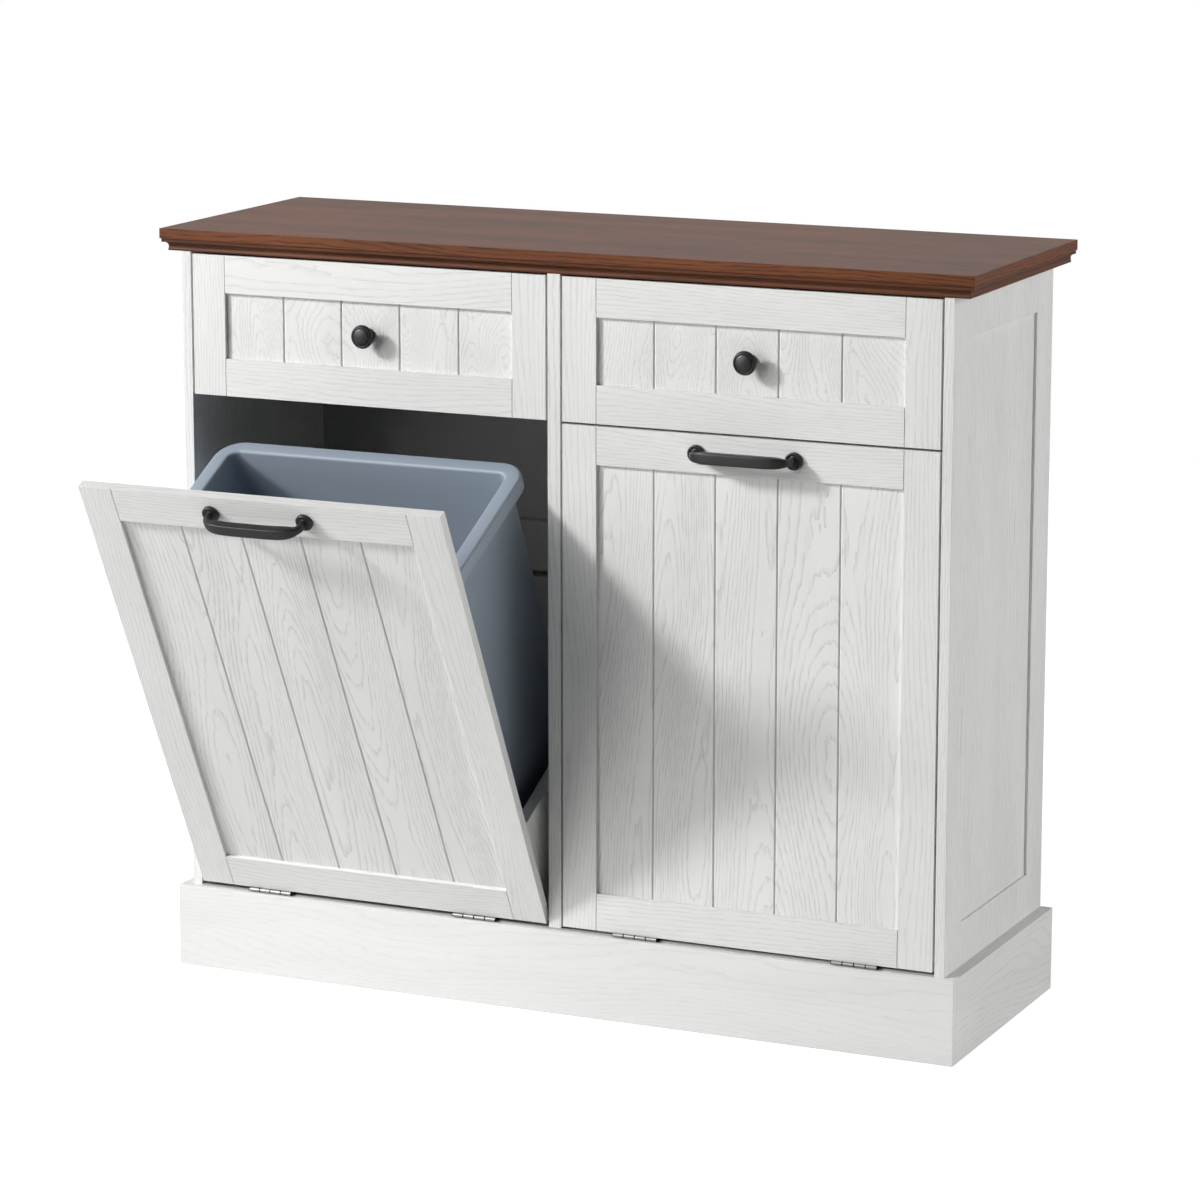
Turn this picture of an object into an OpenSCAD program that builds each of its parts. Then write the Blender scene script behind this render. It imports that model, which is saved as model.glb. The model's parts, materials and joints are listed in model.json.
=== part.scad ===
// Tilt-out trash cabinet: two drawers above two tilt-out doors, each door carrying a lift-out bin.
// X runs along the front, Y runs to the back, Z runs up. The origin is on the floor, in the
// middle of the plinth's width and depth.

/* [Case] */
// Width over the two side panels
case_w = 969; // [700:1:1400]
// Depth from the face of the doors to the back of the side panels
case_d = 331; // [300:1:500]
// Height from the floor to the worktop's upper face
overall_h = 899; // [860:1:1000]
// Thickness of a side panel
side_t = 12; // [10:0.5:18]
// Thickness of the divider between the two bays
divider_t = 16; // [12:0.5:22]
// Thickness of the floor panel, the back rails, the lower back boards and the rear plinth board
board_t = 15; // [12:0.5:18]
// Thickness of the back panels
back_t = 3; // [2.5:0.1:6]
// Width of the rebate that takes the back panels
back_rebate_w = 6; // [3:0.5:8]
// Width of the upright strips of a side panel's frame
side_stile_w = 54; // [30:1:90]
// Width of the level strips of a side panel's frame
side_rail_w = 51.5; // [30:0.5:90]
// Depth of the field inside a side panel's frame
side_recess = 3.5; // [1:0.5:6]

/* [Worktop] */
// Thickness of the worktop slab
slab_t = 12; // [10:0.5:25]
// Overhang of the slab past each side panel
slab_side_over = 25.5; // [14:0.5:50]
// Overhang of the slab past the doors
slab_front_over = 8; // [8:0.5:30]
// Overhang of the slab past the back
slab_back_over = 9.5; // [0:0.5:20]
// Height of the moulding under the slab
moulding_h = 14.5; // [12:0.5:20]
// Width of a moulding board, from the slab's edge inwards
moulding_w = 64; // [45:1:90]
// Set-back of the moulding's upper fillet from the slab's edge
fillet_inset = 1.8; // [0.5:0.1:3]
// Height of the moulding's upper fillet
fillet_h = 4.3; // [3:0.1:6]
// Set-back of the cove's upper edge from the slab's edge
cove_inset = 4.7; // [3.5:0.1:5.5]
// Set-back of the moulding's lower lip from the slab's edge
lip_inset = 7.7; // [6.5:0.1:8]
// Height of the moulding's lower lip
lip_h = 1.6; // [1:0.1:3]
// Depth of the cove below the line between its two edges
cove_depth = 1.9; // [1:0.1:2.5]
// Step between the cove and the lower lip
cove_quirk = 0.3; // [0.2:0.1:0.6]

/* [Plinth] */
// Height of the plinth
plinth_h = 100; // [92:1:130]
// Thickness of the plinth board across the front
plinth_front_t = 10; // [8:0.5:18]
// Thickness of the plinth boards along the sides
plinth_side_t = 15; // [10:0.5:18]

/* [Fronts] */
// Height of a drawer front
drawer_h = 167; // [140:1:220]
// Thickness of the doors and drawer fronts
front_t = 12; // [11:0.5:20]
// Width of the upright strips of a front
stile_w = 42.5; // [30:0.5:60]
// Width of the level strips of a front
rail_w = 44.5; // [30:0.5:55]
// Depth of the boarded field inside a front
field_recess = 5; // [3:0.5:7]
// Width of the rebate that holds the boarded field
field_rebate_w = 8; // [5:0.5:15]
// Pitch of the boards in the field
board_pitch = 76.1; // [60:0.1:100]
// Width of the groove between two boards
groove_w = 3.2; // [2:0.1:5]
// Width of the seam where a rail meets a stile
seam_w = 0.7; // [0.4:0.1:1.5]
// Depth of that seam
seam_depth = 2.2; // [0.5:0.1:2.5]
// Gap at each upright edge of a front
reveal_side = 2.5; // [2:0.1:4]
// Gap above a drawer front
reveal_top = 2.5; // [2:0.1:4]
// Gap between a drawer front and the door below it
reveal_mid = 2.8; // [2:0.1:4]
// Gap between the floor panel and a door, where the hinges lie
reveal_floor = 3; // [3:0.1:4]
// How far the floor panel stands above the plinth
floor_rise = 1.5; // [0.5:0.1:4]

/* [Tilt] */
// Angle through which a door tilts out
tilt_angle = 27; // [15:0.5:30]
// Running clearance between a door's carrier and its stop
stop_gap = 0.3; // [0.2:0.1:0.8]
// Length of a tilt stop
stop_len = 45; // [25:1:70]
// Height of a tilt stop
stop_h = 20; // [12:1:30]
// Set-back of a tilt stop from the inner face and the rear end of the carrier's side board
stop_set_back = 1.5; // [1:0.1:4]
// Room between the bin's rear rim and the drawer as the door swings
swing_clear = 55.5; // [20:0.5:120]

/* [Hinges] */
// Length of a butt hinge
hinge_len = 56; // [40:1:80]
// Distance from a door's upright edge to the near end of a hinge
hinge_edge = 65.25; // [20:0.25:110]
// Radius of a hinge knuckle
knuckle_r = 2.4; // [2:0.1:3]
// Radius of a hinge pin
pin_r = 1.2; // [0.8:0.1:1.4]
// Radial running clearance of a hinge pin
pin_clear = 0.05; // [0.02:0.01:0.1]
// Gap between two hinge knuckles
knuckle_gap = 0.7; // [0.3:0.1:1]
// Thickness of a hinge leaf
leaf_t = 1.2; // [1:0.1:1.4]
// Depth of the hinge leaf on the floor panel
leaf_floor_d = 20; // [12:1:30]

/* [Bin carrier] */
// Height of the carrier's side boards
carrier_h = 127.5; // [90:0.5:180]
// Gap between the carrier and the wall of its bay
carrier_gap = 13.25; // [6:0.25:40]
// Room between the carrier and the back panel when the door is shut
carrier_rear_gap = 50; // [30:1:90]
// Thickness of the carrier's side boards
carrier_side_t = 15; // [10:0.5:18]
// Thickness of the carrier's back rail
carrier_back_t = 12; // [9:0.5:18]
// Height of the carrier's back rail
carrier_back_h = 60; // [40:1:100]
// Thickness of the carrier's floor
carrier_floor_t = 5; // [3:0.5:8]
// Height of the carrier's floor above the door's lower edge
carrier_floor_z = 7.5; // [5:0.5:15]
// Clearance round the bin in its carrier
bin_clear = 3; // [1:0.5:10]

/* [Bin] */
// Wall of the bin
bin_wall = 2.2; // [2:0.1:4]
// Corner radius of the rim
rim_r = 33; // [20:1:60]
// Distance that the rim stands out past the body
rim_out = 14; // [10:1:18]
// Depth of the rim's turned-down lip
rim_lip_h = 18.5; // [10:0.5:30]
// Rounding of the rim's edges
rim_edge = 3.5; // [2.5:0.1:5]
// Height of the thickened band inside the mouth
mouth_h = 22; // [12:1:30]
// Thickness of that band
mouth_t = 6; // [5:0.5:9]
// Height over which the band runs out into the wall below it
mouth_taper = 60; // [10:1:100]
// Rounding between the bin's wall and its floor, inside
bin_floor_r = 8; // [4:0.5:14]
// Height of the hollow under the bin's floor
foot_h = 4; // [2:0.5:8]
// Width of the ring that the bin stands on
foot_w = 14; // [8:1:25]
// How much the body narrows on each side towards its base
bin_draft = 3; // [1:0.5:15]

/* [Drawers] */
// Room between a drawer box and the back panel
box_rear_gap = 26; // [10:1:80]
// Height of a drawer box
box_h = 100; // [70:1:110]
// Gap between the stretcher and the drawer box over it
box_rise = 5; // [3:0.5:10]
// Thickness of the drawer box sides and back
box_t = 12; // [9:0.5:15]
// Thickness of a drawer bottom
box_floor_t = 3; // [2.5:0.1:6]
// Height of a drawer bottom above the box's lower edge
box_floor_z = 8; // [5:0.5:15]
// Width taken by a runner on each side of a drawer box
runner_space = 12.7; // [12:0.1:15]
// Height of a cabinet runner
runner_h = 35; // [25:1:45]
// Thickness of the runner sheet
runner_t = 1.2; // [1:0.1:2]
// Running gap between the two halves of a runner
runner_gap = 0.4; // [0.2:0.1:0.8]
// Depth of the stretcher under a drawer
stretcher_d = 60; // [40:1:100]
// Thickness of the stretcher under a drawer
stretcher_t = 12; // [9:0.5:15]
// Height of the stretcher above the lower edge of the drawer front
stretcher_rise = 2; // [1:0.5:5]

/* [Back] */
// Lower edge of the rail across the back of a bay
back_rail_z = 457; // [350:1:520]
// Height of the rail across the back of a bay
back_rail_h = 62; // [40:1:90]
// Height of the slot between the back rail and the board below it
back_slot_h = 8; // [4:1:20]

/* [Pulls and knobs] */
// Distance between the two feet of a door pull
pull_span = 119; // [96:1:160]
// Distance that a door pull stands out
pull_out = 31; // [27:1:45]
// Height of the grip at the middle of a door pull
grip_h = 13.5; // [10:0.5:18]
// Thickness of the grip
grip_t = 9; // [5:0.5:11]
// Thickness of a pull's legs
leg_t = 8.5; // [6:0.5:9]
// Diameter of a pull's rosettes
rosette_d = 20.5; // [17:0.5:26]
// Thickness of a pull's rosettes
rosette_t = 4.5; // [3:0.1:6]
// Sideways place of a door pull from the middle of its door
pull_shift = -3; // [-20:1:20]
// Diameter of a drawer knob
knob_d = 28; // [22:1:32]
// Distance that a drawer knob stands out of the boarded field
knob_out = 21.5; // [18:0.5:30]

/* [Hidden] */

LEFT = -1;
RIGHT = 1;
WHITE_WOOD = [0.90, 0.90, 0.89];
BROWN_WOOD = [0.45, 0.27, 0.20];
BLACK_METAL = [0.13, 0.13, 0.13];
BRIGHT_METAL = [0.78, 0.78, 0.80];
BIN_GREY = [0.53, 0.59, 0.66];
CUT = 1;              // overrun of a cutting solid past the face that it opens
PANEL_FIT = 0.2;      // clearance of a thin panel in its groove
GROOVE_DEPTH = 5;     // depth of a groove that takes a thin panel
ROUND_FN = 64;        // segments of a round feature

// Levels
case_top_z = overall_h - slab_t - moulding_h;
floor_top_z = plinth_h + floor_rise;
door_z = floor_top_z + reveal_floor;
drawer_z = case_top_z - reveal_top - drawer_h;
door_h = drawer_z - reveal_mid - door_z;

// Depths. The plinth is centred on the origin and includes its front board.
plinth_d = case_d + plinth_front_t;
back_y = plinth_d / 2;
face_y = back_y - case_d;
front_back_y = face_y + front_t;
inner_back_y = back_y - back_t;

// Widths
inner_x = case_w / 2 - side_t;
bay_w = inner_x - divider_t / 2;
bay_x = divider_t / 2 + bay_w / 2;
front_w = bay_w - 2 * reveal_side;
slab_x = case_w / 2 + slab_side_over;
slab_front_y = face_y - slab_front_over;
slab_back_y = back_y + slab_back_over;

// Hinge axis: in the middle of the gap under the door, just proud of its face
hinge_proud = 0.2;
hinge_y = face_y - knuckle_r - hinge_proud;
hinge_z = floor_top_z + reveal_floor / 2;
knuckle_n = 4;
knuckle_len = (hinge_len - (knuckle_n - 1) * knuckle_gap) / knuckle_n;
leaf_gap = 0.3;
leaf_start_y = hinge_y + knuckle_r + leaf_gap;
hinge_x = front_w / 2 - hinge_edge - hinge_len / 2;
pin_head_step = 0.5;
pin_head_r = knuckle_r - pin_head_step;
pin_head_t = 0.8;

// Bin carrier: it fills its bay but for the gaps, and the bin fills it but for its clearance
carrier_in_w = bay_w - 2 * (carrier_gap + carrier_side_t);
carrier_d = inner_back_y - front_back_y - carrier_rear_gap;
carrier_in_d = carrier_d - carrier_back_t;
carrier_top_z = door_z + carrier_h;
carrier_floor_top_z = door_z + carrier_floor_z + carrier_floor_t;

// Bin: its rear rim swings just under the drawer, which settles its height
bin_seat_gap = 0.3;
bin_z = carrier_floor_top_z + bin_seat_gap;
bin_w = carrier_in_w - 2 * bin_clear;
bin_d = carrier_in_d - 2 * bin_clear;
bin_y = front_back_y + bin_clear + bin_d / 2;
swing_r = drawer_z - hinge_z - swing_clear;
swing_reach = bin_y + bin_d / 2 - hinge_y;
bin_h = hinge_z + sqrt(swing_r * swing_r - swing_reach * swing_reach) - bin_z;
rim_band = rim_out + mouth_t;
bin_foot_r = 3.5;
bin_corner_min = 4;
bin_corner_steps = 8;

// Drawer box and its runners
box_w = bay_w - 2 * runner_space;
box_d = inner_back_y - front_back_y - box_rear_gap;
stretcher_z = drawer_z + stretcher_rise;
box_z = stretcher_z + stretcher_t + box_rise;
runner_set_back = 10;
behind_front = 1;     // gap between the back of a drawer front and what is fixed behind it
runner_len = box_d - runner_set_back;
runner_z = box_z + box_h / 2;
runner_lip = 2.5;
rail_fit = 0.3;

// Pull: a superellipse bow whose section swells from a leg to a flat grip
pull_z = door_z + door_h - rail_w / 2;
bow_power = 4;
bow_steps = 28;
heading_step = 1.5;
section_sides = 24;
swell_power = 4;      // how late the section swells on its way to the middle
leg_power = 3;        // squareness of a leg's section: 2 is an ellipse
grip_power = 5;       // squareness of the grip's section
leg_h = 8.5;
leg_root = rosette_t / 2;

module box_at(x0, x1, y0, y1, z0, z1) {
    translate([x0, y0, z0]) cube([x1 - x0, y1 - y0, z1 - z0]);
}

// Worktop and moulding

module top_panel() {
    color(BROWN_WOOD)
        box_at(-slab_x, slab_x, slab_front_y, slab_back_y, overall_h - slab_t, overall_h);
}

// Section of the moulding: x is the distance inwards from the slab's edge, y is up
module moulding_section() {
    cove_top = moulding_h - fillet_h;
    upper = [cove_inset, cove_top];
    lower = [lip_inset - cove_quirk, lip_h];
    half = norm(lower - upper) / 2;
    cove_r = (half * half + cove_depth * cove_depth) / (2 * cove_depth);
    outwards = [lower[1] - upper[1], upper[0] - lower[0]] / (2 * half);
    centre = (upper + lower) / 2 + outwards * (cove_r - cove_depth);
    difference() {
        translate([cove_inset, lip_h]) square([moulding_w - cove_inset, cove_top - lip_h]);
        intersection() {
            translate(centre) circle(cove_r, $fn = ROUND_FN);
            translate([0, lip_h]) square([moulding_w, cove_top - lip_h]);
        }
    }
    translate([fillet_inset, cove_top]) square([moulding_w - fillet_inset, fillet_h]);
    translate([lip_inset, 0]) square([moulding_w - lip_inset, lip_h]);
}

// A length of moulding along X with its outer edge at y = 0, mitred at the ends that ask for it
module moulding_length(len, mitre_start, mitre_end) {
    reach = moulding_w * 2;
    difference() {
        rotate([90, 0, 90]) linear_extrude(len) moulding_section();
        if (mitre_start)
            rotate([0, 0, 45]) translate([-CUT, 0, -CUT]) cube([reach, reach, moulding_h + 2 * CUT]);
        if (mitre_end)
            translate([len, 0, 0]) rotate([0, 0, 45])
                translate([0, -CUT, -CUT]) cube([reach, reach, moulding_h + 2 * CUT]);
    }
}

module moulding_front() {
    color(BROWN_WOOD) translate([-slab_x, slab_front_y, case_top_z])
        moulding_length(2 * slab_x, true, true);
}

// side is LEFT or RIGHT; the length runs from the mitred front corner to the slab's back edge
module moulding_side(side) {
    len = slab_back_y - slab_front_y;
    color(BROWN_WOOD)
        if (side == RIGHT)
            translate([slab_x, slab_front_y, case_top_z]) rotate([0, 0, 90])
                moulding_length(len, true, false);
        else
            translate([-slab_x, slab_back_y, case_top_z]) rotate([0, 0, -90])
                moulding_length(len, false, true);
}

module top_back_strip() {
    strip_x = slab_x - moulding_w;
    color(BROWN_WOOD)
        box_at(-strip_x, strip_x, inner_back_y - moulding_w, inner_back_y,
               case_top_z, case_top_z + moulding_h);
}

// Case

module side_panel(side) {
    outer = case_w / 2;
    field_y0 = face_y + side_stile_w;
    field_y1 = back_y - side_stile_w;
    color(WHITE_WOOD) mirror([side == LEFT ? 1 : 0, 0, 0]) difference() {
        box_at(inner_x, outer, face_y, back_y, 0, case_top_z);
        box_at(outer - side_recess, outer + CUT, field_y0, field_y1,
               plinth_h + side_rail_w, case_top_z - side_rail_w);
        box_at(inner_x - CUT, inner_x + back_rebate_w, inner_back_y, back_y + CUT,
               -CUT, case_top_z + CUT);
    }
}

module divider() {
    color(WHITE_WOOD)
        box_at(-divider_t / 2, divider_t / 2, face_y, inner_back_y, floor_top_z, case_top_z);
}

module floor_panel() {
    color(WHITE_WOOD)
        box_at(-inner_x, inner_x, face_y, inner_back_y, floor_top_z - board_t, floor_top_z);
}

// A thin sheet over the whole back
module back_upper() {
    half_w = inner_x + back_rebate_w - PANEL_FIT;
    color(WHITE_WOOD)
        box_at(-half_w, half_w, inner_back_y, back_y, floor_top_z - board_t, case_top_z);
}

// A board in each bay, in front of the sheet and level with the rail's face
module back_lower() {
    color(WHITE_WOOD) for (side = [LEFT, RIGHT]) translate([side * bay_x, 0, 0])
        box_at(-bay_w / 2, bay_w / 2, inner_back_y - board_t, inner_back_y,
               floor_top_z, back_rail_z - back_slot_h);
}

module back_rail(side) {
    color(WHITE_WOOD) translate([side * bay_x, 0, 0])
        box_at(-bay_w / 2, bay_w / 2, inner_back_y - board_t, inner_back_y,
               back_rail_z, back_rail_z + back_rail_h);
}

module stretcher(side) {
    color(WHITE_WOOD) translate([side * bay_x, 0, 0])
        box_at(-bay_w / 2, bay_w / 2, front_back_y + behind_front,
               front_back_y + behind_front + stretcher_d, stretcher_z, stretcher_z + stretcher_t);
}

// Plinth

module plinth_front() {
    half_w = case_w / 2 + plinth_side_t;
    color(WHITE_WOOD) box_at(-half_w, half_w, -plinth_d / 2, face_y, 0, plinth_h);
}

module plinth_side(side) {
    color(WHITE_WOOD) mirror([side == LEFT ? 1 : 0, 0, 0])
        box_at(case_w / 2, case_w / 2 + plinth_side_t, face_y, back_y, 0, plinth_h);
}

module plinth_back() {
    color(WHITE_WOOD)
        box_at(-inner_x, inner_x, inner_back_y - board_t, inner_back_y, 0, floor_top_z - board_t);
}

module plinth_centre() {
    color(WHITE_WOOD)
        box_at(-board_t / 2, board_t / 2, face_y, inner_back_y - board_t,
               0, floor_top_z - board_t);
}

// Framed and boarded fronts, drawn about the middle of their width

// A V-shaped groove of width w up a face at y
module v_groove(x, y, z0, z1, w) {
    side = w / sqrt(2);
    translate([x, y, z0]) rotate([0, 0, 45]) translate([-side / 2, -side / 2, 0])
        cube([side, side, z1 - z0]);
}

// The stiles run the whole height and the rails fit between them, with a fine seam at each joint
module front_frame(h, z) {
    seam_x = front_w / 2 - stile_w;
    field_z1 = z + h - rail_w;
    color(WHITE_WOOD) difference() {
        box_at(-front_w / 2, front_w / 2, face_y, front_back_y, z, z + h);
        box_at(-seam_x, seam_x, face_y - CUT, front_back_y + CUT, z + rail_w, field_z1);
        box_at(-seam_x - field_rebate_w, seam_x + field_rebate_w,
               face_y + field_recess, front_back_y + CUT,
               z + rail_w - field_rebate_w, field_z1 + field_rebate_w);
        for (s = [-1, 1], level = [[z - CUT, z + rail_w + CUT], [field_z1 - CUT, z + h + CUT]])
            box_at(s * seam_x - seam_w / 2, s * seam_x + seam_w / 2,
                   face_y - CUT, face_y + seam_depth, level[0], level[1]);
    }
}

// The boards are counted from the outer stile, which is on the side given
module front_boards(side, h, z) {
    field_w = front_w - 2 * stile_w;
    half_w = field_w / 2 + field_rebate_w - PANEL_FIT;
    z0 = z + rail_w - field_rebate_w + PANEL_FIT;
    z1 = z + h - rail_w + field_rebate_w - PANEL_FIT;
    field_y = face_y + field_recess;
    grooves = floor((field_w - groove_w) / board_pitch);
    color(WHITE_WOOD) difference() {
        box_at(-half_w, half_w, field_y, front_back_y, z0, z1);
        for (i = [1 : grooves])
            v_groove(side * (field_w / 2 - i * board_pitch), field_y, z0 - CUT, z1 + CUT, groove_w);
    }
}

// Hinges

module knuckles(first, bore) {
    for (i = [first : 2 : knuckle_n - 1])
        translate([-hinge_len / 2 + i * (knuckle_len + knuckle_gap), hinge_y, hinge_z])
            rotate([0, 90, 0]) cylinder(r = bore, h = knuckle_len, $fn = ROUND_FN);
}

// One leaf: its plate from z0 to z0 + leaf_t, its own knuckles and the webs that join them
module hinge_leaf(first, z0, depth) {
    difference() {
        union() {
            box_at(-hinge_len / 2, hinge_len / 2, leaf_start_y, leaf_start_y + depth,
                   z0, z0 + leaf_t);
            for (i = [first : 2 : knuckle_n - 1]) {
                x0 = -hinge_len / 2 + i * (knuckle_len + knuckle_gap);
                box_at(x0, x0 + knuckle_len, hinge_y, leaf_start_y + CUT, z0, z0 + leaf_t);
            }
            knuckles(first, knuckle_r);
        }
        translate([-hinge_len / 2 - CUT, hinge_y, hinge_z]) rotate([0, 90, 0])
            cylinder(r = pin_r + pin_clear, h = hinge_len + 2 * CUT, $fn = ROUND_FN);
    }
}

module hinge_leaves_floor() {
    color(BRIGHT_METAL) for (side = [LEFT, RIGHT], s = [-1, 1])
        translate([side * bay_x + s * hinge_x, 0, 0])
            hinge_leaf(0, floor_top_z, leaf_floor_d);
}

module hinge_pins() {
    color(BRIGHT_METAL) for (side = [LEFT, RIGHT], s = [-1, 1])
        translate([side * bay_x + s * hinge_x - hinge_len / 2, hinge_y, hinge_z])
            rotate([0, 90, 0]) {
                cylinder(r = pin_r, h = hinge_len, $fn = ROUND_FN);
                for (z = [-pin_head_t, hinge_len])
                    translate([0, 0, z]) cylinder(r = pin_head_r, h = pin_head_t, $fn = ROUND_FN);
            }
}

module door_hinge_leaves() {
    color(BRIGHT_METAL) for (s = [-1, 1])
        translate([s * hinge_x, 0, 0])
            hinge_leaf(1, door_z - leaf_t, front_back_y - leaf_start_y);
}

// Bin carrier on the back of a door

module carrier_side(s) {
    inner = carrier_in_w / 2;
    floor_z = door_z + carrier_floor_z;
    color(WHITE_WOOD) mirror([s == LEFT ? 1 : 0, 0, 0]) difference() {
        box_at(inner, inner + carrier_side_t, front_back_y, front_back_y + carrier_d,
               door_z, carrier_top_z);
        box_at(inner - CUT, inner + GROOVE_DEPTH, front_back_y - CUT,
               front_back_y + carrier_d + CUT, floor_z, floor_z + carrier_floor_t);
    }
}

module carrier_back() {
    half_w = carrier_in_w / 2;
    color(WHITE_WOOD)
        box_at(-half_w, half_w, front_back_y + carrier_in_d, front_back_y + carrier_d,
               carrier_top_z - carrier_back_h, carrier_top_z);
}

module carrier_floor() {
    half_w = carrier_in_w / 2 + GROOVE_DEPTH - PANEL_FIT;
    floor_z = door_z + carrier_floor_z;
    color(WHITE_WOOD)
        box_at(-half_w, half_w, front_back_y, front_back_y + carrier_d,
               floor_z, floor_z + carrier_floor_t);
}

// The stops stand on the bay's walls, square to a door that is tilted all the way out
module tilt_stops() {
    inner = carrier_in_w / 2 + stop_set_back;
    y1 = front_back_y + carrier_d - stop_set_back;
    color(WHITE_WOOD) for (side = [LEFT, RIGHT], s = [LEFT, RIGHT])
        translate([side * bay_x, 0, 0]) mirror([s == LEFT ? 1 : 0, 0, 0]) tilted(tilt_angle)
            box_at(inner, bay_w / 2, y1 - stop_len, y1,
                   carrier_top_z + stop_gap, carrier_top_z + stop_gap + stop_h);
}

// Skins a solid over rings that each have n points, in order along it
module loft(rings) {
    n = len(rings[0]);
    last = (len(rings) - 1) * n;
    polyhedron(
        points = [for (ring = rings) each ring],
        faces = concat(
            [[for (i = [n - 1 : -1 : 0]) i]],
            [for (k = [0 : len(rings) - 2], i = [0 : n - 1])
                let (j = (i + 1) % n) [k * n + i, k * n + j, (k + 1) * n + j, (k + 1) * n + i]],
            [[for (i = [0 : n - 1]) last + i]]
        ));
}

// Bin. Its wall is a line of [inset from the rim's outline, height] pairs, which runs from the
// inner floor up to the mouth, over the rim, down the lip, back up under it and down to the foot.

function arc(centre, r, from, to, steps) =
    [for (i = [0 : steps]) let (a = from + (to - from) * i / steps)
        centre + r * [cos(a), sin(a)]];

function bin_line() =
    let (top = bin_h,
         floor_z = foot_h + bin_wall,
         base = rim_out + bin_draft,
         inner_base = base + bin_wall,
         taper_z = bin_h - mouth_h - mouth_taper,
         inner_top = inner_base - bin_draft * taper_z / bin_h,
         under_r = max(rim_edge - bin_wall, 0.5))
        concat(
            [[inner_base + 2 * bin_floor_r, floor_z]],
            arc([inner_base + bin_floor_r, floor_z + bin_floor_r], bin_floor_r, 270, 180, 4),
            [[inner_top, taper_z], [rim_band, top - mouth_h]],
            arc([rim_band - rim_edge, top - rim_edge], rim_edge, 0, 90, 3),
            arc([rim_edge, top - rim_edge], rim_edge, 90, 180, 3),
            arc([bin_wall / 2, top - rim_lip_h + bin_wall / 2], bin_wall / 2, 180, 360, 3),
            arc([bin_wall + under_r, top - bin_wall - under_r], under_r, 180, 90, 2),
            [[rim_out - under_r, top - bin_wall], [rim_out, top - bin_wall - under_r]],
            arc([base + bin_foot_r, bin_foot_r], bin_foot_r, 180, 270, 3),
            [[base + foot_w, 0], [base + foot_w, foot_h]]
        );

function bin_ring(inset, z) =
    let (w = bin_w / 2 - inset, d = bin_d / 2 - inset, r = max(rim_r - inset, bin_corner_min))
        [for (q = [0 : 3], i = [0 : bin_corner_steps])
            let (a = 90 * (q + i / bin_corner_steps),
                 sx = q == 0 || q == 3 ? 1 : -1, sy = q < 2 ? 1 : -1)
                [sx * (w - r) + r * cos(a), bin_y + sy * (d - r) + r * sin(a), bin_z + z]];

module bin() {
    color(BIN_GREY) loft([for (p = bin_line()) bin_ring(p[0], p[1])]);
}

// Door pull

function spow(v, p) = sign(v) * pow(abs(v), p);
function bow_point(a) = [-pull_span / 2 * spow(cos(a), 2 / bow_power),
                         -leg_root - (pull_out - grip_t / 2 - leg_root) * spow(sin(a), 2 / bow_power)];
function bow_heading(a) =
    let (p = bow_point(max(a - heading_step, 0)), q = bow_point(min(a + heading_step, 180)))
        (q - p) / norm(q - p);
function swell(a) = pow(sin(a), swell_power);
function bow_ring(a) =
    let (c = bow_point(a), t = bow_heading(a), s = swell(a),
         p = 2 / (leg_power + (grip_power - leg_power) * s),
         half_t = (leg_t + (grip_t - leg_t) * s) / 2,
         half_h = (leg_h + (grip_h - leg_h) * s) / 2)
        [for (i = [0 : section_sides - 1])
            let (b = 360 * i / section_sides, u = half_t * spow(cos(b), p))
                [c[0] + t[1] * u, c[1] - t[0] * u, half_h * spow(sin(b), p)]];

module bow() {
    loft([for (k = [0 : bow_steps]) bow_ring(180 * k / bow_steps)]);
}

// A disc with a rounded edge and a sunk ring round the leg
module rosette() {
    edge_r = rosette_t / 4;
    ring_in = leg_t / 2 + 1.2;
    ring_w = 1.8;
    ring_depth = 1;
    rotate([90, 0, 0]) rotate_extrude($fn = ROUND_FN) difference() {
        union() {
            square([rosette_d / 2, rosette_t - edge_r]);
            square([rosette_d / 2 - edge_r, rosette_t]);
            translate([rosette_d / 2 - edge_r, rosette_t - edge_r]) intersection() {
                circle(edge_r, $fn = ROUND_FN);
                square(edge_r + CUT);
            }
        }
        translate([ring_in, rosette_t - ring_depth]) square([ring_w, ring_depth + CUT]);
    }
}

module pull() {
    color(BLACK_METAL) translate([pull_shift, face_y, pull_z]) {
        for (s = [-1, 1]) translate([s * pull_span / 2, 0, 0]) rosette();
        bow();
    }
}

// Drawer

module drawer_side(s) {
    outer = box_w / 2;
    floor_z = box_z + box_floor_z;
    color(WHITE_WOOD) mirror([s == LEFT ? 1 : 0, 0, 0]) difference() {
        box_at(outer - box_t, outer, front_back_y, front_back_y + box_d, box_z, box_z + box_h);
        box_at(outer - box_t - CUT, outer - box_t + GROOVE_DEPTH, front_back_y - CUT,
               front_back_y + box_d + CUT, floor_z, floor_z + box_floor_t);
    }
}

module drawer_back() {
    half_w = box_w / 2 - box_t;
    color(WHITE_WOOD)
        box_at(-half_w, half_w, front_back_y + box_d - box_t, front_back_y + box_d,
               box_z + box_floor_z + box_floor_t, box_z + box_h);
}

module drawer_bottom() {
    half_w = box_w / 2 - box_t + GROOVE_DEPTH - PANEL_FIT;
    floor_z = box_z + box_floor_z;
    color(WHITE_WOOD)
        box_at(-half_w, half_w, front_back_y, front_back_y + box_d,
               floor_z, floor_z + box_floor_t);
}

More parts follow.
